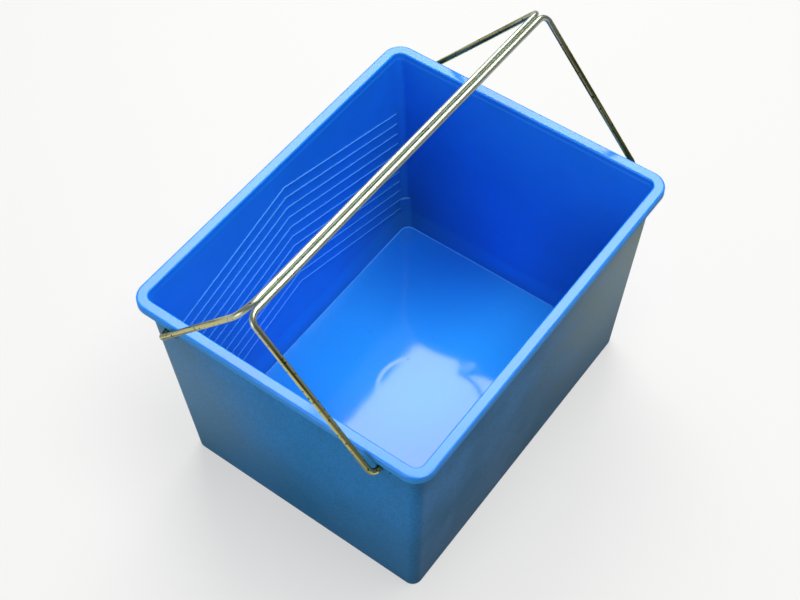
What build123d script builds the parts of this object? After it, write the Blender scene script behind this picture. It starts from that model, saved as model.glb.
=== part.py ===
from build123d import *
import os
from math import atan, cos, radians, sin, sqrt, tan

# A rectangular painter's bucket: one moulded polypropylene tub and two bent wire bails.
# X runs along the long side and the grips, Y points to the ribbed back wall, Z is up.
# The origin is on the ground under the middle of the tub. Sizes are in millimetres.

# Tub walls and floor
height = 219.0
rim_length = 348.0
rim_width = 280.0
base_length = 313.0
base_width = 240.0
wall = 2.2
floor_thickness = 2.4
floor_chamfer = 1.2

# Flat rim with a turned-down lip
rim_flange = 9.6
rim_depth = 7.5
flange_thickness = 2.4
lip_thickness = 2.6
rim_edge_radius = 1.8
mouth_chamfer = 0.8
mouth_corner_radius = 7.0

# Shoulder inside the mouth, where the wall steps in
neck_depth = 6.0
neck_step = 0.5

# Corner posts with the ledges that stop nested tubs from jamming
ledge_height = 40.0
post_radius = 16.0

# Chevron ribs on the back wall, which wipe a roller
rib_count = 11
rib_pitch = 12.5
rib_peak_drop = 26.5
rib_slope = 15.0
rib_base = 1.6
rib_height = 0.9
rib_taper = 22.0
rib_root = 0.5
rib_end_gap = 7.0

# Recessed underside with the mark of the moulding gate
foot_width = 9.0
base_recess = 1.5
gate_well_radius = 9.0
gate_well_depth = 0.6

# Hook lugs under the rim, with blind holes for the bails
pivot_y = 102.0
pivot_drop = 13.5
lug_radius = 9.0
lug_setback = 1.5
hole_skin = 1.5

# Wire bails
wire_diameter = 5.0
wire_clearance = 0.35
arm_gap = 4.0
arm_splay = 2.3
bail_reach = 151.5
grip_gap = 0.4
hook_bend_radius = 6.5
grip_bend_radius = 8.0
slack_bend_radius = 18.0

# Sizes that follow from those above
mouth_length = rim_length - 2 * rim_flange
mouth_width = rim_width - 2 * rim_flange
top_length = mouth_length - 2 * neck_step + 2 * wall
top_width = mouth_width - 2 * neck_step + 2 * wall
inner_radius = mouth_corner_radius - neck_step
wall_radius = inner_radius + wall
rim_radius = mouth_corner_radius + rim_flange
floor_top = base_recess + floor_thickness
floor_edge = floor_top + floor_chamfer
neck_height = height - neck_depth
mouth_edge = height - mouth_chamfer
flange_underside = height - flange_thickness
pivot_z = height - pivot_drop
lug_face = rim_length / 2 - lug_setback
wire_radius = wire_diameter / 2
hole_radius = wire_radius + wire_clearance
arm_x = rim_length / 2 + arm_gap + wire_radius
grip_x = arm_x + arm_splay
grip_y = wire_radius + grip_gap / 2
grip_z = pivot_z + sqrt(bail_reach**2 - (pivot_y - grip_y) ** 2)


def inner_length(z):
    return base_length - 2 * wall + (top_length - base_length) * z / height


def inner_width(z):
    return base_width - 2 * wall + (top_width - base_width) * z / height


hole_bottom = inner_length(pivot_z) / 2 + hole_skin
tip_x = hole_bottom + wire_clearance

with BuildPart() as tub:
    # Rim plate with a rounded top edge
    with BuildSketch(Plane.XY.offset(height - rim_depth)):
        RectangleRounded(rim_length, rim_width, rim_radius)
    extrude(amount=rim_depth)
    fillet(faces().sort_by(Axis.Z)[-1].edges(), rim_edge_radius)

    # Groove under the flange, inside the lip
    with BuildSketch(Plane.XY.offset(height - rim_depth)):
        RectangleRounded(
            rim_length - 2 * lip_thickness, rim_width - 2 * lip_thickness, rim_radius - lip_thickness
        )
    extrude(amount=rim_depth - flange_thickness, mode=Mode.SUBTRACT)

    # Outer walls, drafted from the base to the rim
    with BuildSketch():
        RectangleRounded(base_length, base_width, wall_radius)
    with BuildSketch(Plane.XY.offset(height)):
        RectangleRounded(top_length, top_width, wall_radius)
    loft(ruled=True)

    # Lugs for the hooks, joined to the rim above and the end wall behind
    for end in (1, -1):
        with BuildSketch(Plane.YZ.offset(end * lug_face)):
            with Locations((pivot_y, pivot_z), (-pivot_y, pivot_z)):
                Circle(lug_radius)
                Rectangle(2 * lug_radius, flange_underside - pivot_z, align=(Align.CENTER, Align.MIN))
        extrude(amount=-end * (lug_face - base_length / 2))

    # Hollow, from the broken edge of the floor past posts, walls and neck to the broken edge of the mouth
    for low, high, corner, growth_low, growth_high in (
        (floor_top, floor_edge, post_radius, -floor_chamfer, 0),
        (floor_edge, ledge_height, post_radius, 0, 0),
        (ledge_height, neck_height, inner_radius, 0, 0),
        (neck_height, mouth_edge, inner_radius, neck_step, neck_step),
        (mouth_edge, height, inner_radius, neck_step, neck_step + mouth_chamfer),
    ):
        for z, growth in ((low, growth_low), (high, growth_high)):
            with BuildSketch(Plane.XY.offset(z)):
                RectangleRounded(inner_length(z) + 2 * growth, inner_width(z) + 2 * growth, corner + growth)
        loft(ruled=True, mode=Mode.SUBTRACT)

    # Blind holes for the hooks
    for end in (1, -1):
        with BuildSketch(Plane.YZ.offset(end * lug_face)):
            with Locations((pivot_y, pivot_z), (-pivot_y, pivot_z)):
                Circle(hole_radius)
        extrude(amount=-end * (lug_face - hole_bottom), mode=Mode.SUBTRACT)

    # Recess under the floor, with the gate's well
    with BuildSketch():
        RectangleRounded(base_length - 2 * foot_width, base_width - 2 * foot_width, wall_radius)
    extrude(amount=base_recess, mode=Mode.SUBTRACT)
    with BuildSketch(Plane.XY.offset(base_recess)):
        Circle(gate_well_radius)
    extrude(amount=gate_well_depth, mode=Mode.SUBTRACT)

    # Chevron ribs, drawn on the back wall's inner face
    draft = atan((top_width - base_width) / 2 / height)
    rib_peak = height - rib_peak_drop
    back_wall = Plane(
        origin=(0, inner_width(rib_peak) / 2, rib_peak),
        x_dir=(1, 0, 0),
        z_dir=(0, -cos(draft), sin(draft)),
    )
    slope = tan(radians(rib_slope))
    narrowing = (top_length - base_length) / 2 / height
    half_rib = rib_base / 2 / cos(radians(rib_slope))
    with BuildSketch(back_wall.offset(-rib_root)):
        for step in range(rib_count):
            peak = -step * rib_pitch
            end_gap = rib_end_gap - peak * narrowing
            reach = (inner_length(rib_peak) / 2 - end_gap) / (1 + slope * narrowing)
            fall = reach * slope
            Polygon(
                (0, peak + half_rib),
                (-reach, peak + half_rib - fall),
                (-reach, peak - half_rib - fall),
                (0, peak - half_rib),
                (reach, peak - half_rib - fall),
                (reach, peak + half_rib - fall),
                align=None,
            )
    extrude(amount=rib_root + rib_height, taper=rib_taper)
tub.part.label = "tub"


def bent_wire(side, left_bend):
    """One bail, hooked into both ends of the tub and leaning to the middle."""
    with BuildPart() as bail:
        with BuildLine() as route:
            FilletPolyline(
                (-tip_x, side * pivot_y, pivot_z),
                (-arm_x, side * pivot_y, pivot_z),
                (-grip_x, side * grip_y, grip_z),
                (grip_x, side * grip_y, grip_z),
                (arm_x, side * pivot_y, pivot_z),
                (tip_x, side * pivot_y, pivot_z),
                radius=[hook_bend_radius, left_bend, grip_bend_radius, hook_bend_radius],
            )
        with BuildSketch(Plane(route.wire() @ 0, z_dir=route.wire() % 0)):
            Circle(wire_radius)
        sweep()
    return bail


back_bail = bent_wire(1, slack_bend_radius)
back_bail.part.label = "back_bail"
front_bail = bent_wire(-1, grip_bend_radius)
front_bail.part.label = "front_bail"

os.makedirs("parts", exist_ok=True)
export_step(tub.part, "parts/tub.step")
export_step(back_bail.part, "parts/back_bail.step")
export_step(front_bail.part, "parts/front_bail.step")
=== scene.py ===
from math import cos, exp, pi, radians, sin, sqrt, tan

import bmesh
import bpy
from mathutils import Matrix, Vector


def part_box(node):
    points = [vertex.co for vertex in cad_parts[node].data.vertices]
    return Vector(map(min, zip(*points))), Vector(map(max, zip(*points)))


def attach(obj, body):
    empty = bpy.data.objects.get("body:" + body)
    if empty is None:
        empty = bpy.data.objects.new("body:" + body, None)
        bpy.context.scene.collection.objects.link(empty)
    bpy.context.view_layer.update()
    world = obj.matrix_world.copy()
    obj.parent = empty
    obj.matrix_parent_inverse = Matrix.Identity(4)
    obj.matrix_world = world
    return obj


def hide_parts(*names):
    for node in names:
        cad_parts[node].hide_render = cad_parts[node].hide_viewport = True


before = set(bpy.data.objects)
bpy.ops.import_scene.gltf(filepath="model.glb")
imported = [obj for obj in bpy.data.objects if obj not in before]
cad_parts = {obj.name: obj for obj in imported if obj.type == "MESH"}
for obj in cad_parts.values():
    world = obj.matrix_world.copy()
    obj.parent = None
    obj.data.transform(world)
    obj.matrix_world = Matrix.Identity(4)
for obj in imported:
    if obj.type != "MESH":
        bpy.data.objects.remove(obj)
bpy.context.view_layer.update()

scene = bpy.context.scene
scene.view_settings.view_transform = "Standard"
mm = 0.001
sharpAngle = 40.0

tubLow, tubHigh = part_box("tub")
print("frame loaded, tub", [round(v, 4) for v in tubHigh - tubLow])


def linear(hexColour):
    parts = [int(hexColour[i:i + 2], 16) / 255 for i in (1, 3, 5)]
    return [p / 12.92 if p <= 0.04045 else ((p + 0.055) / 1.055) ** 2.4 for p in parts] + [1.0]


def setInputs(tree, node, inputs):
    for key, value in inputs.items():
        if isinstance(value, bpy.types.NodeSocket):
            tree.links.new(value, node.inputs[key])
        else:
            node.inputs[key].default_value = value


def addNode(tree, kind, settings=None, inputs=None):
    node = tree.nodes.new(kind)
    for key, value in (settings or {}).items():
        setattr(node, key, value)
    setInputs(tree, node, inputs or {})
    return node


def calc(tree, operation, *values, clamp=False):
    settings = {"operation": operation, "use_clamp": clamp}
    return addNode(tree, "ShaderNodeMath", settings, dict(enumerate(values))).outputs[0]


def vectorCalc(tree, operation, *values):
    made = addNode(tree, "ShaderNodeVectorMath", {"operation": operation}, dict(enumerate(values)))
    return made.outputs["Value" if operation in ("DISTANCE", "DOT_PRODUCT") else "Vector"]


def ramp(tree, value, start, end, low=0.0, high=1.0, smooth=False):
    settings = {"interpolation_type": "SMOOTHSTEP" if smooth else "LINEAR"}
    return addNode(tree, "ShaderNodeMapRange", settings, {
        "Value": value, "From Min": start, "From Max": end, "To Min": low, "To Max": high}).outputs["Result"]


def noise(tree, vector, scale, detail=2.0, roughness=0.5):
    return addNode(tree, "ShaderNodeTexNoise", None, {
        "Vector": vector, "Scale": scale, "Detail": detail, "Roughness": roughness}).outputs["Fac"]


def blend(tree, share, first, second):
    return addNode(tree, "ShaderNodeMix", {"data_type": "RGBA"}, {
        "Factor": share, "A": first, "B": second}).outputs["Result"]


def bump(tree, height, depth):
    return addNode(tree, "ShaderNodeBump", None, {
        "Height": height, "Distance": depth * mm, "Strength": 1.0}).outputs[0]


def combine(tree, parts):
    return addNode(tree, "ShaderNodeCombineXYZ", None, parts).outputs[0]


def attribute(tree, name, output="Fac"):
    return addNode(tree, "ShaderNodeAttribute", {"attribute_name": name}).outputs[output]


def objectCoords(tree):
    coords = addNode(tree, "ShaderNodeTexCoord").outputs["Object"]
    height = addNode(tree, "ShaderNodeSeparateXYZ", None, {0: coords}).outputs["Z"]
    return coords, height


def newMaterial(name):
    material = bpy.data.materials.new(name)
    material.use_nodes = True
    tree = material.node_tree
    tree.nodes.clear()
    shader = addNode(tree, "ShaderNodeBsdfPrincipled")
    output = addNode(tree, "ShaderNodeOutputMaterial")
    tree.links.new(shader.outputs[0], output.inputs["Surface"])
    return material, tree, shader


# Polypropylene, injection moulded: blue right through, with a mirror floor painted lighter in its middle and
# darker towards the back right corner as painted light and shade, a glossy rim and satin walls with faint
# flow waves. The low corners and the foot of the walls are darkened with painted shade, the floor's edge
# carries a painted highlight, the ribs, most of all the upper ones, are rubbed pale and partly painted
# highlight, and a few grains of dirt lie on the floor.
plastic = {
    "blue": "#1D89F6",
    "deepBlue": "#197DEA",
    # painted shade: darkens the four low corners and the foot of the walls, where shade falls
    "paintedShade": "#0B6294",
    "shadeCorner": (157.0, 119.0, 3.0),  # the low corner of the back wall, and its like in the other three
    "shadeSpread": (1.0, 1.0, 0.6),  # under 1 where it reaches further
    "shadeReach": 112.0,
    "cornerShadeShare": 0.9,
    "shadeRoughness": 0.75,
    "footShade": 0.4,
    "footTop": 16.0,
    "footLow": 5.0,
    # painted light and shade on the floor: darker at the back right corner, lighter towards the middle
    "floorPaintedShade": "#166CD0",
    "floorPaintedLight": "#2797EE",
    "paleFrom": (170.0, 85.0, 4.0),  # floor corner where the painted shade is darkest, from which the painted light grows
    "paleStart": 35.0,
    "paleFull": 155.0,
    "paleFade": 190.0,
    "paleEnd": 270.0,
    "paleLeft": 0.5,
    "floorPolish": 0.6,  # above the rim's polish
    "grit": "#2E6494",
    # pale tone: rubbed wear on the ribs, and painted highlight on the ribs and along the floor's edge
    "rubbedAndHighlit": "#46A0F4",
    "roughness": 0.36,
    "polishedRoughness": 0.075,
    "paleRoughness": 0.85,
    "ior": 1.5,
    "waveSize": 45.0,
    "waveDepth": 0.04,
    "gritSize": 2.8,  # grains drawn several times their size, so that they show
    "gritShare": 0.72,
    "gritEdge": 0.03,
    "gritRoughness": 0.9,
}


def makePolypropylene():
    p = plastic
    material, tree, shader = newMaterial("mouldedPolypropylene")
    coords, height = objectCoords(tree)
    polish = attribute(tree, "polish")
    # rubbed wear and painted highlight, stored on the ribs and the floor's edge
    paleShare = attribute(tree, "rubbedAndHighlit")
    floorShare = ramp(tree, polish, p["floorPolish"], 1.0)
    # painted light on the floor, growing away from the back right corner
    away = vectorCalc(tree, "DISTANCE", coords, Vector(p["paleFrom"]) * mm)
    rise = ramp(tree, away, p["paleStart"] * mm, p["paleFull"] * mm, smooth=True)
    fade = ramp(tree, away, p["paleFade"] * mm, p["paleEnd"] * mm, 1.0, p["paleLeft"], smooth=True)
    floorLight = calc(tree, "MULTIPLY", rise, fade)
    spread = vectorCalc(tree, "MULTIPLY", coords, p["shadeSpread"])
    folded = vectorCalc(tree, "ABSOLUTE", spread)
    toCorner = vectorCalc(tree, "DISTANCE", folded, Vector(p["shadeCorner"]) * mm)
    # painted shade in the four low corners and along the foot of the walls
    corner = ramp(tree, toCorner, 0.0, p["shadeReach"] * mm, p["cornerShadeShare"], 0.0)
    foot = ramp(tree, height, p["footTop"] * mm, p["footLow"] * mm, 0.0, p["footShade"])
    unpolished = calc(tree, "SUBTRACT", 1.0, polish)
    paintedShade = calc(tree, "MULTIPLY", calc(tree, "MAXIMUM", corner, foot), unpolished)
    flow = noise(tree, coords, 1 / (p["waveSize"] * mm))
    grains = noise(tree, coords, 1 / (p["gritSize"] * mm))
    grains = ramp(tree, grains, p["gritShare"], p["gritShare"] + p["gritEdge"])
    grit = calc(tree, "MULTIPLY", grains, floorShare)

    body = blend(tree, flow, linear(p["blue"]), linear(p["deepBlue"]))
    floor = blend(tree, floorLight, linear(p["floorPaintedShade"]), linear(p["floorPaintedLight"]))
    colour = blend(tree, floorShare, body, floor)
    for share, tone in ((paleShare, "rubbedAndHighlit"), (paintedShade, "paintedShade"), (grit, "grit")):
        colour = blend(tree, share, colour, linear(p[tone]))
    rough = ramp(tree, polish, 0.0, 1.0, p["roughness"], p["polishedRoughness"])
    rough = calc(tree, "MULTIPLY_ADD", paleShare, p["paleRoughness"] - p["roughness"], rough)
    rough = calc(tree, "MULTIPLY_ADD", paintedShade, p["shadeRoughness"] - p["roughness"], rough)
    rough = calc(tree, "MULTIPLY_ADD", grit, p["gritRoughness"], rough)
    setInputs(tree, shader, {
        "Base Color": colour, "Roughness": rough, "IOR": p["ior"],
        "Normal": bump(tree, flow, p["waveDepth"])})
    return material


# The same plastic where hands, dust and the ground have dulled the outside: satin, clean at the lip, under a
# thin film below it, with a painted reflection of the ground on the front and two corners, darker towards the
# bottom, with smudges and level scuffs.
handledPlastic = {
    "clean": "#3CA8FF",
    "blue": "#1E90E2",
    "dust": "#46708A",
    "darkTone": "#085A80",
    "scuff": "#4F93C4",
    "roughness": 0.5,
    "specularLevel": 0.07,
    "film": 0.04,
    "filmTint": "#A4A88C",
    "filmRoughness": 0.45,
    "ior": 1.5,
    "lipHeight": 211.5,
    "lipFade": 0.5,
    "smudgeSize": 60.0,
    "smudgeDetail": 6.0,
    "smudgeBreak": 0.6,
    "smudgeBand": (0.4, 0.75),  # between these values of its noise the smudge goes from none to its share
    "smudgeShare": 0.3,
    "smudgeRoughness": 0.4,
    # painted reflection of the ground: a dark olive cloud for the shaded ground on the front, pale ones at
    # two corners
    "groundReflections": [  # a cloud thins out faster along an axis where "narrow" is over 1
        {"place": (0.0, -330.0, 100.0), "narrow": (1.0, 1.0, 1.0), "reach": 360.0, "share": 0.7,
         "colour": "#4C5E48"},
        {"place": (185.0, -150.0, 165.0), "narrow": (1.0, 1.6, 1.0), "reach": 225.0, "share": 0.7,
         "colour": "#C4D0BA"},
        {"place": (-175.0, 155.0, 120.0), "narrow": (1.0, 1.0, 1.0), "reach": 180.0, "share": 0.55,
         "colour": "#8A9E98"},
    ],
    "cloudRagged": 0.4,
    # the outside wall gets darker towards the bottom
    "darkeningHeight": 150.0,
    "darkeningShare": 0.64,
    "grainSize": 2.4,  # the moulded grain is finer, and is drawn coarser so that it shows
    "grainDetail": 3.0,
    "grainDepth": 0.02,
    "mottleBand": (0.4, 0.6),
    "mottleShare": 0.3,
    "scuffLength": 70.0,
    "scuffWidth": 0.9,  # drawn wider than the hairlines on the real wall, so that they show
    "scuffDetail": 1.0,
    "scuffBand": (0.68, 0.78),
    "scuffShare": 0.3,
}


def makeHandledPolypropylene():
    h = handledPlastic
    material, tree, shader = newMaterial("handledPolypropylene")
    coords, height = objectCoords(tree)
    cloudy = noise(tree, coords, 1 / (h["smudgeSize"] * mm), h["smudgeDetail"], h["smudgeBreak"])
    smudge = ramp(tree, cloudy, *h["smudgeBand"], 0.0, h["smudgeShare"])
    grain = noise(tree, coords, 1 / (h["grainSize"] * mm), h["grainDetail"])
    mottle = ramp(tree, grain, *h["mottleBand"], 0.0, h["mottleShare"])
    long, thin = 1 / (h["scuffLength"] * mm), 1 / (h["scuffWidth"] * mm)
    stretch = addNode(tree, "ShaderNodeMapping", None, {"Vector": coords, "Scale": (long, long, thin)})
    hair = noise(tree, stretch.outputs[0], 1.0, h["scuffDetail"])
    scuff = ramp(tree, hair, *h["scuffBand"], 0.0, h["scuffShare"])
    # darker towards the bottom
    low = ramp(tree, height, 0.0, h["darkeningHeight"] * mm, h["darkeningShare"], 0.0, smooth=True)
    lip = ramp(tree, height, (h["lipHeight"] - h["lipFade"]) * mm, h["lipHeight"] * mm)

    tone = linear(h["blue"])
    for share, name in ((smudge, "dust"), (low, "darkTone"), (mottle, "darkTone")):
        tone = blend(tree, share, tone, linear(h[name]))
    # each cloud paints a reflection of the ground
    for c in h["groundReflections"]:
        reach = c["reach"] * mm
        ragged = h["cloudRagged"] * reach
        squeezed = vectorCalc(tree, "MULTIPLY", coords, c["narrow"])
        away = vectorCalc(tree, "DISTANCE", squeezed, Vector(c["place"]) * Vector(c["narrow"]) * mm)
        uneven = calc(tree, "MULTIPLY_ADD", cloudy, -ragged, away)
        paintedReflection = ramp(tree, uneven, -ragged / 2, reach - ragged / 2, c["share"], 0.0, smooth=True)
        tone = blend(tree, paintedReflection, tone, linear(c["colour"]))
    for share, name in ((scuff, "scuff"), (lip, "clean")):
        tone = blend(tree, share, tone, linear(h[name]))
    rough = calc(tree, "MULTIPLY_ADD", smudge, h["smudgeRoughness"], h["roughness"])
    setInputs(tree, shader, {
        "Base Color": tone, "Roughness": rough, "IOR": h["ior"], "Specular IOR Level": h["specularLevel"],
        "Sheen Weight": h["film"], "Sheen Roughness": h["filmRoughness"], "Sheen Tint": linear(h["filmTint"]),
        "Normal": bump(tree, grain, h["grainDepth"])})
    return material


# Zinc-plated drawn steel wire: bright where hands polish the grips, yellowed, streaked and pitted down the
# arms, with fine lines along it from the drawing die.
wireFinish = {
    "bright": "#B0B8A8",
    "yellowed": "#BCBA7A",
    "streak": "#3A3C22",
    "pit": "#1C1C12",
    "roughness": 0.34,
    "pitRoughness": 0.7,
    "polishLow": 292.0,
    "polishHigh": 322.0,
    "pitSize": 2.5,
    "pitShare": 0.615,
    "pitSharpness": 18.0,
    "pitDepth": 0.6,  # in depths of a die line
    "gripPitLoss": 0.08,
    "patchSize": 16.0,
    "patchDetail": 4.0,
    "patchShare": 0.9,
    "dieLength": 90.0,
    "lineScale": 9.0,
    "lineDepth": 0.008,
    "streakScale": 0.9,
    "streakBand": (0.46, 0.58),
    "streakShare": 0.85,
}


def makeZincWire():
    w = wireFinish
    material, tree, shader = newMaterial("zincPlatedWire")
    coords, height = objectCoords(tree)
    polish = ramp(tree, height, w["polishLow"] * mm, w["polishHigh"] * mm)
    patch = noise(tree, coords, 1 / (w["patchSize"] * mm), w["patchDetail"])
    uneven = calc(tree, "MULTIPLY_ADD", patch, w["patchShare"], -w["patchShare"] / 2)
    share = calc(tree, "ADD", uneven, polish, clamp=True)
    pits = noise(tree, coords, 1 / (w["pitSize"] * mm))
    rarer = calc(tree, "MULTIPLY_ADD", polish, w["gripPitLoss"], w["pitShare"])
    over = calc(tree, "SUBTRACT", pits, rarer)
    pit = calc(tree, "MULTIPLY", over, w["pitSharpness"], clamp=True)
    around = addNode(tree, "ShaderNodeSeparateXYZ", None, {0: attribute(tree, "ring", "Vector")}).outputs
    travel = calc(tree, "DIVIDE", attribute(tree, "along"), w["dieLength"] * mm)
    path = combine(tree, {"X": around["X"], "Y": around["Y"], "Z": travel})
    lines = noise(tree, path, w["lineScale"])
    dark = ramp(tree, noise(tree, path, w["streakScale"]), *w["streakBand"], 0.0, w["streakShare"])
    streak = calc(tree, "MULTIPLY", dark, calc(tree, "SUBTRACT", 1.0, share))

    tone = blend(tree, share, linear(w["yellowed"]), linear(w["bright"]))
    tone = blend(tree, streak, tone, linear(w["streak"]))
    tone = blend(tree, pit, tone, linear(w["pit"]))
    rough = ramp(tree, pit, 0.0, 1.0, w["roughness"], w["pitRoughness"])
    relief = calc(tree, "MULTIPLY_ADD", pit, -w["pitDepth"], lines)
    setInputs(tree, shader, {
        "Base Color": tone, "Roughness": rough, "Metallic": 1.0,
        "Normal": bump(tree, relief, w["lineDepth"])})
    return material


polypropylene = makePolypropylene()
handledPolypropylene = makeHandledPolypropylene()
zincWire = makeZincWire()
print("materials made")

# Tub shell, in millimetres: closed rings from under the floor, up the wall, over the rim and down to the
# floor. A hold is the flat between a rounding and the next ring, which keeps the shading beyond it even.
tub = {
    "rimLength": (tubHigh.x - tubLow.x) / mm,
    "rimWidth": (tubHigh.y - tubLow.y) / mm,
    "height": tubHigh.z / mm,
    "baseLength": 313.0,
    "baseWidth": 240.0,
    "wall": 2.2,
    "wallHold": 0.6,
    "wallSteps": 14,
    "cornerRadius": 8.7,
    "rimReach": 7.9,
    "rimDepth": 7.5,
    "flange": 2.4,
    "flangeRounding": 1.0,
    "lip": 2.6,
    "grooveRounding": 0.4,
    "lipRounding": 0.6,
    "lipHold": 0.8,
    "rimRounding": 1.8,
    "rimHold": 0.4,
    "mouthRounding": 1.7,
    "neckDepth": 6.0,
    "neckStep": 0.5,
    "neckUpper": ((0.0, 1.6), (-0.02, 1.1), (-0.12, 0.6)),  # out from the mouth, and height over the neck
    "neckLower": ((0.12, -0.3), (0.02, -0.8)),  # the same, out from the wall
    "neckHold": 1.6,
    "ledgeHeight": 40.0,
    "ledgeHold": 1.2,
    # height over the ledge, and the share of the way from the wall's corner to the post
    "ledgeCurve": ((0.45, 0), (0.25, 0.06), (0.1, 0.2), (-0.1, 0.8), (-0.25, 0.94), (-0.5, 1.0)),
    "postCut": 7.4,  # a post is a flat across the corner, which takes this much of each wall
    "postRounding": 3.0,
    "postSteps": 3,
    "floorTop": 3.9,
    "floorCorner": 9.0,
    "floorRounding": 0.5,
    "floorHold": 0.5,
    "flareTop": 25.0,
    "flare": 3.2,
    "flareHold": 0.5,
    "flareSteps": 7,
    "flareTurn": -18.0,  # where on the floor's rounding the flared wall ends
    "footWidth": 9.0,
    "footRecess": 1.5,
    "footInner": ((0.2, 0.3), (0.6, 0.0)),  # out from the foot's inner edge, and height
    "footRounding": 1.2,
    "footHold": 0.5,
    "recessHold": 0.4,
    "gateWell": 9.0,
    "gateDepth": 0.6,
    "gateDraft": 0.1,
    "underSteps": 6,
    "discRadius": 29.0,
    "discDepth": 0.05,
    "discEdge": 2.6,
    "bulgeHeight": 1.8,
    "bulgeMiddle": -6.0,
    "bulgeEnds": (118.0, 45.0),  # half length, and how far its ends take to rise
    "bulgeBack": (45.0, 62.0),
    "bulgeFront": (112.0, 60.0),
    "dentPlace": (45.0, -33.0),
    "dentTurn": -37.7,
    "dentLength": 13.0,
    "dentWidth": 8.0,
    "dentDepth": 0.16,
    "polish": {"floor": 1.0, "edge": 1.0, "rim": 0.5, "wall": 0.0, "handled": 0.0},
    # painted highlight along the floor's edge
    "edgeHighlight": 0.9,
    "roundSteps": {"foot": 6, "flange": 6, "groove": 3, "lip": 4, "rim": 8, "mouth": 8, "floor": 4},
    "arcSteps": 13,
    "longSteps": 40,
    "shortSteps": 32,
    "circleRadius": 84.0,  # inside this the floor's rings are circles
    "squareSteps": 14,
    "circleSteps": 41,
    "circlePitch": 2.0,
}
tub["topLength"] = tub["rimLength"] - 2 * tub["rimReach"]
tub["topWidth"] = tub["rimWidth"] - 2 * tub["rimReach"]


def wallHalf(z):
    share = z / tub["height"]
    halfX = (tub["baseLength"] + (tub["topLength"] - tub["baseLength"]) * share) / 2
    halfY = (tub["baseWidth"] + (tub["topWidth"] - tub["baseWidth"]) * share) / 2
    return halfX, halfY


def roundedRing(halfX, halfY, radius, z, setback):
    # each corner is two half arcs, and a setback longer than the radius draws them apart into a flat
    steps = tub["arcSteps"]
    arcs = []
    for k, (sx, sy) in enumerate([(1, 1), (-1, 1), (-1, -1), (1, -1)]):
        onX = Vector((sx * (halfX - radius), sy * (halfY - setback), z))
        onY = Vector((sx * (halfX - setback), sy * (halfY - radius), z))
        first, second = (onY, onX) if k % 2 else (onX, onY)
        arc = []
        for i in range(steps + 1):
            turn = pi / 2 * (k + i / steps)
            middle = first if 2 * i < steps else second
            arc.append(middle + radius * Vector((cos(turn), sin(turn), 0)))
        arcs.append(arc)
    points = []
    sides = [tub["longSteps"], tub["shortSteps"]] * 2
    for arc, following, count in zip(arcs, arcs[1:] + arcs[:1], sides):
        points += arc
        points += [arc[-1].lerp(following[0], i / count) for i in range(1, count)]
    return points


def arcSteps(centre, radius, start, end, count):
    turns = [radians(start + (end - start) * i / count) for i in range(count + 1)]
    return [(centre[0] + radius * cos(t), centre[1] + radius * sin(t)) for t in turns]


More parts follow.
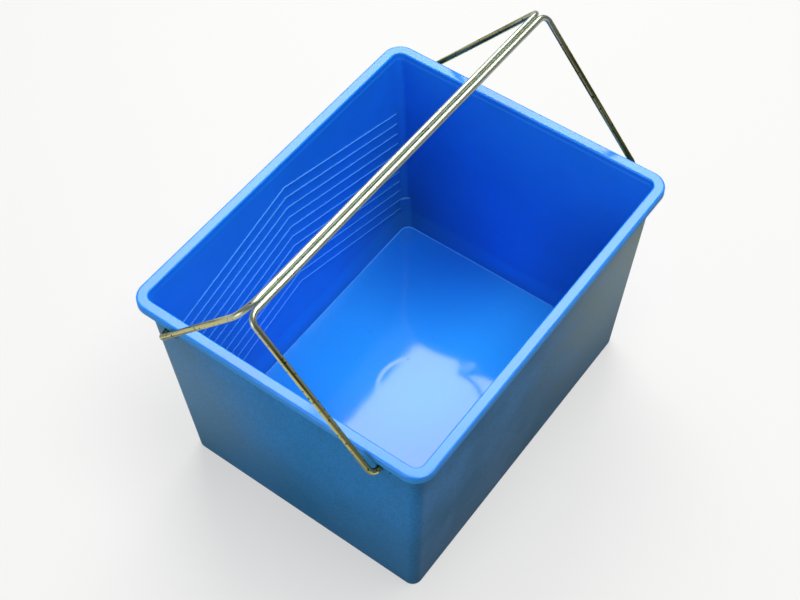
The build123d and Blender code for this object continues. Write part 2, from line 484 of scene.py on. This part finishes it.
def tubProfile():
    # (distance out from the wall, height, corner radius, height where the wall is measured, finish, setback)
    t = tub
    top = t["height"]
    wall = -t["wall"]
    steps = t["roundSteps"]
    rings = []

    def ring(out, z, radius=None, at=None, finish="handled", setback=None):
        radius = t["cornerRadius"] + out if radius is None else radius
        setback = radius if setback is None else setback
        rings.append((out, z, radius, z if at is None else at, finish, setback))

    def rounding(out, z, radius, start, end, count, at=top, finish="handled"):
        for arcOut, arcZ in arcSteps((out, z), radius, start, end, count):
            ring(arcOut, arcZ, None, at, finish)

    def straight(out, start, stop, count, radius=None, finish="handled", setback=None):
        for i in range(count + 1):
            ring(out, start + (stop - start) * i / count, radius, None, finish, setback)

    inside = -t["footWidth"]
    recess = ((-t["recessHold"], t["footRecess"]), (0, t["footRecess"]))
    for out, z in recess + t["footInner"]:
        ring(inside + out, z, t["cornerRadius"], 0)
    r = t["footRounding"]
    ring(-r - t["footHold"], 0, None, 0)
    rounding(-r, r, r, -90, 0, steps["foot"], None)
    flangeUnder = top - t["flange"]
    under = t["flangeRounding"]
    straight(0, r + t["wallHold"], flangeUnder - (under + t["wallHold"]), t["wallSteps"])
    rounding(under, flangeUnder - under, under, 180, 90, steps["flange"])
    lipIn, lipOut = t["rimReach"] - t["lip"], t["rimReach"]
    lipUnder = top - t["rimDepth"]
    r = t["grooveRounding"]
    rounding(lipIn - r, flangeUnder - r, r, 90, 0, steps["groove"])
    rounding(lipIn + r, lipUnder + r, r, 180, 270, steps["groove"])
    r = t["lipRounding"]
    rounding(lipOut - r, lipUnder + r, r, -90, 0, steps["lip"])
    ring(lipOut, lipUnder + r + t["lipHold"], None, top)
    r = t["rimRounding"]
    ring(lipOut, top - r - t["wallHold"], None, top)
    rounding(lipOut - r, top - r, r, 0, 90, steps["rim"], finish="rim")
    ring(lipOut - r - t["rimHold"], top, None, top, "rim")

    mouth = t["neckStep"] - t["wall"]
    r = t["mouthRounding"]
    ring(mouth + r + t["rimHold"], top, None, top, "rim")
    rounding(mouth + r, top - r, r, 90, 180, steps["mouth"], finish="rim")
    neck = top - t["neckDepth"]
    for start, curve in ((mouth, t["neckUpper"]), (wall, t["neckLower"])):
        for out, z in curve:
            ring(start + out, neck + z, finish="wall")
    ledge = t["ledgeHeight"]
    straight(wall, neck - t["neckHold"], ledge + t["ledgeHold"], t["wallSteps"], finish="wall")
    inner = t["cornerRadius"] - t["wall"]
    post = t["postRounding"]
    cut = t["postCut"] + post * (sqrt(2) - 1)
    for z, share in t["ledgeCurve"]:
        ring(wall, ledge + z, inner + (post - inner) * share, None, "wall", inner + (cut - inner) * share)
    straight(wall, ledge - t["ledgeHold"], t["flareTop"], t["postSteps"], post, "wall", cut)

    r = t["floorRounding"]
    level = t["floorTop"]
    corner = t["floorCorner"]
    start, stop = t["flareTop"] - t["flareHold"], level + r
    for i in range(1, t["flareSteps"] + 1):
        share = i / t["flareSteps"]
        ring(wall - t["flare"] * share, start + (stop - start) * share, post + (corner - post) * share,
             None, "wall", cut + (corner - cut) * share)
    edge = wall - t["flare"] - r
    for out, z in arcSteps((edge, level + r), r, t["flareTurn"], -90, steps["floor"]):
        ring(out, z, corner + out - edge - r, level, "edge")
    ring(edge - t["floorHold"], level, corner - r - t["floorHold"], level, "floor")
    return rings


def circleRing(radius, z, like):
    return [Vector((p.x, p.y, 0)).normalized() * radius + Vector((0, 0, z)) for p in like]


def ease(t):
    t = min(max(t, 0), 1)
    return t * t * (3 - 2 * t)


def floorRise(x, y):
    # a faint sunk disc round the gate, the low bulge of a warped floor, and a small dent on the bulge
    t = tub
    disc = -t["discDepth"] * ease((t["discRadius"] - sqrt(x * x + y * y)) / t["discEdge"] + 0.5)
    reach, rise = t["bulgeEnds"]
    ends = ease((reach - abs(x - t["bulgeMiddle"])) / rise)
    back, backRise = t["bulgeBack"]
    front, frontRise = t["bulgeFront"]
    sides = ease((back - y) / backRise) * ease((front + y) / frontRise)
    turn = radians(t["dentTurn"])
    dentX, dentY = x - t["dentPlace"][0], y - t["dentPlace"][1]
    along, across = cos(turn) * dentX + sin(turn) * dentY, cos(turn) * dentY - sin(turn) * dentX
    dent = exp(-((along / t["dentLength"]) ** 2 + (across / t["dentWidth"]) ** 2))
    return disc + t["bulgeHeight"] * ends * sides - t["dentDepth"] * dent


def materialIndex(finish):
    return 1 if finish == "handled" else 0


def joinLoops(bm, first, second, index):
    for i in range(len(first)):
        j = (i + 1) % len(first)
        bm.faces.new((first[i], first[j], second[j], second[i])).material_index = index


def buildTub():
    t = tub
    rings, finishes = [], []
    for out, z, radius, at, finish, setback in tubProfile():
        halfX, halfY = wallHalf(at)
        rings.append(roundedRing(halfX + out, halfY + out, radius, z, setback))
        finishes.append(finish)
    under, floor = rings[0], rings[-1]
    flat, steps = t["circleRadius"], t["squareSteps"]
    target = circleRing(flat, t["floorTop"], floor)
    inward = [[p.lerp(q, s / steps) for p, q in zip(floor, target)] for s in range(1, steps + 1)]
    for i in range(1, t["circleSteps"] + 1):
        inward.append(circleRing(flat - t["circlePitch"] * i, t["floorTop"], floor))
    for ring in inward:
        for p in ring:
            p.z += floorRise(p.x, p.y)
    well, depth, steps = t["gateWell"], t["gateDepth"], t["underSteps"]
    gate = [(well / 2, depth), (well - t["gateDraft"], depth), (well, 0), (flat, 0)]
    outward = [circleRing(radius, t["footRecess"] + up, under) for radius, up in gate]
    outward += [[p.lerp(q, s / steps) for p, q in zip(outward[-1], under)] for s in range(1, steps)]
    finishes = ["handled"] * len(outward) + finishes + ["floor"] * len(inward)
    rings = outward + rings + inward
    bm = bmesh.new()
    polishLayer = bm.verts.layers.float.new("polish")
    paleLayer = bm.verts.layers.float.new("rubbedAndHighlit")
    loops = []
    for ring, finish in zip(rings, finishes):
        loop = [bm.verts.new(p * mm) for p in ring]
        for v in loop:
            v[polishLayer] = t["polish"][finish]
            # the floor's edge gets a painted highlight
            v[paleLayer] = t["edgeHighlight"] if finish == "edge" else 0.0
        loops.append(loop)
    for first, second, finish in zip(loops, loops[1:], finishes):
        joinLoops(bm, first, second, materialIndex(finish))
    for loop, finish in ((loops[0], "handled"), (loops[-1], "floor")):
        middle = bm.verts.new(sum((v.co for v in loop), Vector()) / len(loop))
        middle[polishLayer] = t["polish"][finish]
        for i in range(len(loop)):
            face = bm.faces.new((loop[i], loop[(i + 1) % len(loop)], middle))
            face.material_index = materialIndex(finish)
    addLugs(bm)
    bmesh.ops.recalc_face_normals(bm, faces=bm.faces)
    return finishMesh(bm, "tubShell", polypropylene, handledPolypropylene)


# Lugs under the rim, each with the blind hole that holds a hook
lug = {
    "pivotY": 102.0,
    "pivotZ": 205.5,
    "radius": 9.0,
    "face": 172.5,
    "root": 164.4,
    "sink": 0.4,
    "rounding": 0.8,
    "holeRadius": 2.85,
    "holeBottom": 164.8,
    "holeRounding": 0.4,
    "arcSteps": 24,
    "sideSteps": 4,
    "topSteps": 8,
    "roundingSteps": 4,
}


def lugOutline(grow):
    r = lug["radius"] + grow
    top = tub["height"] - tub["flange"] + lug["sink"] - lug["pivotZ"]
    side, across = lug["sideSteps"], lug["topSteps"]
    points = arcSteps((0, 0), r, 180, 360, lug["arcSteps"])
    points += [(r, top * i / side) for i in range(1, side + 1)]
    points += [(r - 2 * r * i / across, top) for i in range(1, across + 1)]
    points += [(-r, top * (1 - i / side)) for i in range(1, side)]
    return points


def addLugs(bm):
    for end in (1, -1):
        for side in (1, -1):
            addLug(bm, end, side)


def addLug(bm, end, side):
    rim, hole, steps = lug["rounding"], lug["holeRounding"], lug["roundingSteps"]
    turns = [radians(90 * i / steps) for i in range(steps + 1)]
    outline = lugOutline(0)

    def holeRing(radius):
        return [tuple(Vector(p).normalized() * radius) for p in outline]

    layers = [(outline, lug["root"]), (outline, lug["face"] - rim)]
    for turn in turns[1:]:
        layers.append((lugOutline(-rim * (1 - cos(turn))), lug["face"] - rim * (1 - sin(turn))))
    for turn in turns:
        mouth = holeRing(lug["holeRadius"] + hole * (1 - sin(turn)))
        layers.append((mouth, lug["face"] - hole * (1 - cos(turn))))
    layers.append((holeRing(lug["holeRadius"]), lug["holeBottom"]))
    loops = []
    for points, x in layers:
        place = [(end * x, side * lug["pivotY"] + y, lug["pivotZ"] + z) for y, z in points]
        loops.append([bm.verts.new(Vector(p) * mm) for p in place])
    index = materialIndex("handled")
    for first, second in zip(loops, loops[1:]):
        joinLoops(bm, first, second, index)
    for loop in (loops[0], loops[-1]):
        bm.faces.new(loop).material_index = index


def finishMesh(bm, name, *materials):
    mesh = bpy.data.meshes.new(name)
    bm.to_mesh(mesh)
    bm.free()
    mesh.shade_smooth()
    mesh.set_sharp_from_angle(angle=radians(sharpAngle))
    for material in materials:
        mesh.materials.append(material)
    piece = bpy.data.objects.new(name, mesh)
    scene.collection.objects.link(piece)
    return piece


def bakeModifiers(piece):
    depsgraph = bpy.context.evaluated_depsgraph_get()
    mesh = bpy.data.meshes.new_from_object(piece.evaluated_get(depsgraph))
    made = bpy.data.objects.new(piece.name, mesh)
    name = piece.name
    bpy.data.objects.remove(piece)
    made.name = mesh.name = name
    scene.collection.objects.link(made)
    return made


tubShell = buildTub()
weighted = tubShell.modifiers.new("flatFaces", "WEIGHTED_NORMAL")
weighted.keep_sharp = True
tubShell = bakeModifiers(tubShell)
print("tub shell", len(tubShell.data.polygons), "faces")

# Chevron ribs on the inner back wall, spaced by nodes and laid on the wall's slope
ribs = {
    "count": 11,
    "pitch": 12.5,
    "peak": 192.5,
    "slope": 15.0,
    "width": 1.5,
    "height": 0.9,
    "endGap": 7.0,
    "wearAndHighlight": 0.9,
    "paleDepth": 215.0,  # how far down the wall the rubbed paleness and painted highlight end
    "sides": 12,
}


def newTree(name, inputs):
    tree = bpy.data.node_groups.new(name, "GeometryNodeTree")
    tree.interface.new_socket("Geometry", in_out="OUTPUT", socket_type="NodeSocketGeometry")
    for label, kind in inputs:
        tree.interface.new_socket(label, in_out="INPUT", socket_type="NodeSocket" + kind)
    return tree, addNode(tree, "NodeGroupInput").outputs, addNode(tree, "NodeGroupOutput")


def runTree(piece, tree, values):
    modifier = piece.modifiers.new(tree.name, "NODES")
    modifier.node_group = tree
    for item in tree.interface.items_tree:
        if item.in_out == "INPUT" and item.name in values:
            modifier[item.identifier] = values[item.name]
    return bakeModifiers(piece)


def coatTree(tree, geometry, material, result):
    coated = addNode(tree, "GeometryNodeSetMaterial", None, {"Geometry": geometry, "Material": material})
    tree.links.new(coated.outputs[0], result.inputs[0])


def ribTree():
    tree, given, result = newTree("chevronRibs", [
        ("Count", "Int"), ("Pitch", "Float"), ("Half Length", "Float"), ("Fall", "Float"),
        ("Shrink", "Float"), ("Width", "Float"), ("Height", "Float"), ("Sides", "Int"), ("Wear And Highlight", "Float"),
        ("Pale End", "Float"), ("Material", "Material")])
    left = combine(tree, {"X": calc(tree, "MULTIPLY", given["Half Length"], -1.0)})
    right = combine(tree, {"X": given["Half Length"]})
    line = addNode(tree, "GeometryNodeCurvePrimitiveLine", None, {"Start": left, "End": right})
    bent = addNode(tree, "GeometryNodeResampleCurve", None, {"Curve": line.outputs[0], "Count": 3})
    position = addNode(tree, "GeometryNodeInputPosition").outputs[0]
    place = addNode(tree, "ShaderNodeSeparateXYZ", None, {0: position}).outputs
    drop = calc(tree, "MULTIPLY", calc(tree, "ABSOLUTE", place["X"]), given["Fall"])
    offset = combine(tree, {"Y": calc(tree, "MULTIPLY", drop, -1.0)})
    chevron = addNode(tree, "GeometryNodeSetPosition", None, {"Geometry": bent.outputs[0], "Offset": offset})
    upright = addNode(tree, "GeometryNodeSetCurveNormal", {"mode": "Z_UP"}, {"Curve": chevron.outputs[0]})
    section = addNode(tree, "GeometryNodeCurvePrimitiveCircle", None, {
        "Resolution": given["Sides"], "Radius": 1.0})
    size = combine(tree, {"X": given["Width"], "Y": given["Height"], "Z": 1.0})
    oval = addNode(tree, "GeometryNodeTransform", None, {"Geometry": section.outputs[0], "Scale": size})
    solid = addNode(tree, "GeometryNodeCurveToMesh", None, {
        "Curve": upright.outputs[0], "Profile Curve": oval.outputs[0], "Fill Caps": True})
    stride = combine(tree, {"Y": calc(tree, "MULTIPLY", given["Pitch"], -1.0)})
    column = addNode(tree, "GeometryNodeMeshLine", None, {"Count": given["Count"], "Offset": stride})
    index = addNode(tree, "GeometryNodeInputIndex").outputs[0]
    kept = calc(tree, "SUBTRACT", 1.0, calc(tree, "MULTIPLY", index, given["Shrink"]))
    copies = addNode(tree, "GeometryNodeInstanceOnPoints", None, {
        "Points": column.outputs[0], "Instance": solid.outputs[0], "Scale": kept})
    real = addNode(tree, "GeometryNodeRealizeInstances", None, {"Geometry": copies.outputs[0]})
    smooth = addNode(tree, "GeometryNodeSetShadeSmooth", None, {"Geometry": real.outputs[0]})
    # ribs paler towards the top of the wall: rubbed wear and partly painted highlight
    ribPale = ramp(tree, place["Y"], given["Pale End"], 0.0, 0.0, given["Wear And Highlight"])
    paleStored = addNode(tree, "GeometryNodeStoreNamedAttribute", {"data_type": "FLOAT"}, {
        "Geometry": smooth.outputs[0], "Name": "rubbedAndHighlit", "Value": ribPale})
    coatTree(tree, paleStored.outputs[0], given["Material"], result)
    return tree


def buildRibs():
    fall = tan(radians(ribs["slope"]))
    narrowing = (tub["topLength"] - tub["baseLength"]) / 2 / tub["height"]
    lean = (tub["topWidth"] - tub["baseWidth"]) / 2 / tub["height"]
    halfX, halfY = wallHalf(ribs["peak"])
    half = (halfX - tub["wall"] - ribs["endGap"]) / (1 + fall * narrowing)
    piece = bpy.data.objects.new("wallRibs", bpy.data.meshes.new("wallRibs"))
    scene.collection.objects.link(piece)
    piece = runTree(piece, ribTree(), {
        "Count": ribs["count"], "Pitch": ribs["pitch"] * mm, "Half Length": half * mm, "Fall": fall,
        "Shrink": ribs["pitch"] * narrowing / half, "Width": ribs["width"] / 2 * mm,
        "Height": ribs["height"] * mm, "Sides": ribs["sides"], "Wear And Highlight": ribs["wearAndHighlight"],
        "Pale End": -ribs["paleDepth"] * mm, "Material": polypropylene})
    up = Vector((0, lean, 1)).normalized()
    inward = Vector((1, 0, 0)).cross(up)
    wall = Matrix((Vector((1, 0, 0)), up, inward)).transposed().to_4x4()
    wall.translation = Vector((0, halfY - tub["wall"], ribs["peak"])) * mm
    piece.data.transform(wall)
    return piece


wallRibs = buildRibs()
print("ribs", len(wallRibs.data.polygons), "faces")

# Wire bails: a route of six points each, with four bends, rounded and swept by nodes
bail = {
    "wire": 5.0,
    "tip": 165.2,
    "arm": 180.5,
    "grip": 182.8,
    "reach": 151.5,
    "gripGap": 0.4,
    "hookBend": 6.5,
    "gripBend": 8.0,
    "slackBend": 18.0,
    "bendSteps": 16,
    "sides": 32,
}


def wireTree():
    tree, given, result = newTree("bentWire", [
        ("Geometry", "Geometry"), ("Wire Radius", "Float"), ("Bend Steps", "Int"), ("Sides", "Int"),
        ("Material", "Material")])
    bend = addNode(tree, "GeometryNodeInputRadius").outputs[0]
    bent = addNode(tree, "GeometryNodeFilletCurve", {"mode": "POLY"}, {
        "Curve": given["Geometry"], "Count": given["Bend Steps"], "Radius": bend, "Limit Radius": False})
    even = addNode(tree, "GeometryNodeSetCurveRadius", None, {"Curve": bent.outputs[0], "Radius": 1.0})
    length = addNode(tree, "GeometryNodeSplineParameter").outputs["Length"]
    measured = addNode(tree, "GeometryNodeStoreNamedAttribute", {"data_type": "FLOAT"}, {
        "Geometry": even.outputs[0], "Name": "along", "Value": length})
    circle = addNode(tree, "GeometryNodeCurvePrimitiveCircle", None, {
        "Resolution": given["Sides"], "Radius": 1.0})
    position = addNode(tree, "GeometryNodeInputPosition").outputs[0]
    turned = addNode(tree, "GeometryNodeStoreNamedAttribute", {"data_type": "FLOAT_VECTOR"}, {
        "Geometry": circle.outputs[0], "Name": "ring", "Value": position})
    size = combine(tree, {"X": given["Wire Radius"], "Y": given["Wire Radius"], "Z": 1.0})
    section = addNode(tree, "GeometryNodeTransform", None, {"Geometry": turned.outputs[0], "Scale": size})
    wire = addNode(tree, "GeometryNodeCurveToMesh", None, {
        "Curve": measured.outputs[0], "Profile Curve": section.outputs[0], "Fill Caps": True})
    real = addNode(tree, "GeometryNodeRealizeInstances", None, {"Geometry": wire.outputs[0]})
    smooth = addNode(tree, "GeometryNodeSetShadeSmooth", None, {"Geometry": real.outputs[0]})
    coatTree(tree, smooth.outputs[0], given["Material"], result)
    return tree


bentWire = wireTree()


def buildBail(name, side, leftBend):
    b = bail
    gripY = (b["wire"] + b["gripGap"]) / 2
    gripZ = lug["pivotZ"] + sqrt(b["reach"] ** 2 - (lug["pivotY"] - gripY) ** 2)
    hook = (side * lug["pivotY"], lug["pivotZ"])
    grip = (side * gripY, gripZ)
    route = [(-b["tip"], *hook, 0), (-b["arm"], *hook, b["hookBend"]), (-b["grip"], *grip, leftBend),
             (b["grip"], *grip, b["gripBend"]), (b["arm"], *hook, b["hookBend"]), (b["tip"], *hook, 0)]
    curve = bpy.data.curves.new(name, "CURVE")
    curve.dimensions = "3D"
    spline = curve.splines.new("POLY")
    spline.points.add(len(route) - 1)
    for point, (x, y, z, bend) in zip(spline.points, route):
        point.co = (x * mm, y * mm, z * mm, 1)
        point.radius = bend * mm
    piece = bpy.data.objects.new(name, curve)
    scene.collection.objects.link(piece)
    return runTree(piece, bentWire, {
        "Wire Radius": b["wire"] / 2 * mm, "Bend Steps": b["bendSteps"], "Sides": b["sides"],
        "Material": zincWire})


backBail = buildBail("backBailWire", 1, bail["slackBend"])
frontBail = buildBail("frontBailWire", -1, bail["gripBend"])
print("bails", len(backBail.data.polygons), "faces each")

for piece, body in ((tubShell, "tub"), (wallRibs, "tub"), (backBail, "back_bail"), (frontBail, "front_bail")):
    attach(piece, body)
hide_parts("tub")
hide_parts("tub")
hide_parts("back_bail")
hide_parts("front_bail")

# Pale floor, soft boxes overhead, behind and to the left, and a sky that is brightest above and behind
stage = {
    "floorPale": "#CFCFCC",
    "floorBounce": "#85857E",  # what the walls get back from the floor, which the camera doesn't see
    "floorWhite": "#FFFFFF",
    "floorGlow": 0.55,  # share of plain white in the floor that the camera and reflections see
    "floorRoughness": 0.9,
    "floorSize": 60.0,
    "floorDrop": 0.2,  # keeps the floor off the foot's own face
    "boxes": {
        "backSoftBox": {"place": (0.98, 0.72, 1.75), "size": (1.35, 1.12), "level": 7.0},
        "topSoftBox": {"place": (0.1, -0.45, 1.9), "size": (0.9, 1.0), "level": 8.4},
        "leftSoftBox": {"place": (-1.6, 0.25, 0.4), "size": (0.9, 0.5), "level": 4.5},
    },
    "aim": (0.0, 0.0, 0.12),
    "skyTop": "#9C9C9C",
    "skyLow": "#545452",
    "skyAxis": (0.35, 0.45, 0.82),
    "skyBand": (-0.35, 0.9),
}


def makeStage():
    mesh = bpy.data.meshes.new("studioFloor")
    s = stage["floorSize"] / 2
    z = -stage["floorDrop"] * mm
    mesh.from_pydata([(-s, -s, z), (s, -s, z), (s, s, z), (-s, s, z)], [], [(0, 1, 2, 3)])
    floor = bpy.data.objects.new("studioFloor", mesh)
    scene.collection.objects.link(floor)
    material, tree, shader = newMaterial("paintedFloor")
    path = addNode(tree, "ShaderNodeLightPath").outputs
    direct = calc(tree, "MAXIMUM", path["Is Camera Ray"], path["Is Glossy Ray"])
    seen = calc(tree, "MAXIMUM", direct, path["Is Transmission Ray"])
    paint = blend(tree, seen, linear(stage["floorBounce"]), linear(stage["floorPale"]))
    setInputs(tree, shader, {"Base Color": paint, "Roughness": stage["floorRoughness"]})
    glow = calc(tree, "MULTIPLY", seen, stage["floorGlow"])
    white = addNode(tree, "ShaderNodeEmission", None, {"Color": linear(stage["floorWhite"]), "Strength": 1.0})
    lit = addNode(tree, "ShaderNodeMixShader", None, {0: glow, 1: shader.outputs[0], 2: white.outputs[0]})
    tree.links.new(lit.outputs[0], tree.nodes["Material Output"].inputs["Surface"])
    mesh.materials.append(material)


def softBox(name, box):
    light = bpy.data.lights.new(name, "AREA")
    light.shape = "RECTANGLE"
    light.size, light.size_y = box["size"]
    light.energy = pi * box["level"] * light.size * light.size_y
    lamp = bpy.data.objects.new(name, light)
    lamp.location = box["place"]
    lamp.rotation_euler = (Vector(stage["aim"]) - lamp.location).to_track_quat("-Z", "Y").to_euler()
    scene.collection.objects.link(lamp)


def makeSky():
    world = bpy.data.worlds.new("studioSky")
    scene.world = world
    world.use_nodes = True
    tree = world.node_tree
    tree.nodes.clear()
    place = addNode(tree, "ShaderNodeTexCoord").outputs["Generated"]
    share = ramp(tree, vectorCalc(tree, "DOT_PRODUCT", place, stage["skyAxis"]), *stage["skyBand"])
    tone = blend(tree, share, linear(stage["skyLow"]), linear(stage["skyTop"]))
    back = addNode(tree, "ShaderNodeBackground", None, {"Color": tone, "Strength": 1.0})
    output = addNode(tree, "ShaderNodeOutputWorld")
    tree.links.new(back.outputs[0], output.inputs["Surface"])


makeStage()
for name, box in stage["boxes"].items():
    softBox(name, box)
makeSky()

# Camera at the photograph's viewpoint, for a picture 800 pixels wide
view = {
    "eye": (-0.57666, -0.43499, 1.12184),
    "forward": (0.46864, 0.36053, -0.80647),
    "right": (0.59391, -0.80440, -0.01448),
    "focalPixels": 1461.8,
    "width": 800,
    "sensor": 36.0,
    "clipStart": 0.01,
}


def makeCamera():
    data = bpy.data.cameras.new("photoCamera")
    data.sensor_fit = "HORIZONTAL"
    data.sensor_width = view["sensor"]
    data.lens = view["focalPixels"] / view["width"] * view["sensor"]
    data.clip_start = view["clipStart"]
    camera = bpy.data.objects.new("photoCamera", data)
    forward = Vector(view["forward"]).normalized()
    right = Vector(view["right"])
    right = (right - forward * right.dot(forward)).normalized()
    up = right.cross(forward)
    turn = Matrix((right, up, -forward)).transposed().to_4x4()
    turn.translation = Vector(view["eye"])
    camera.matrix_world = turn
    scene.collection.objects.link(camera)
    scene.camera = camera


makeCamera()
print("stage and camera set")
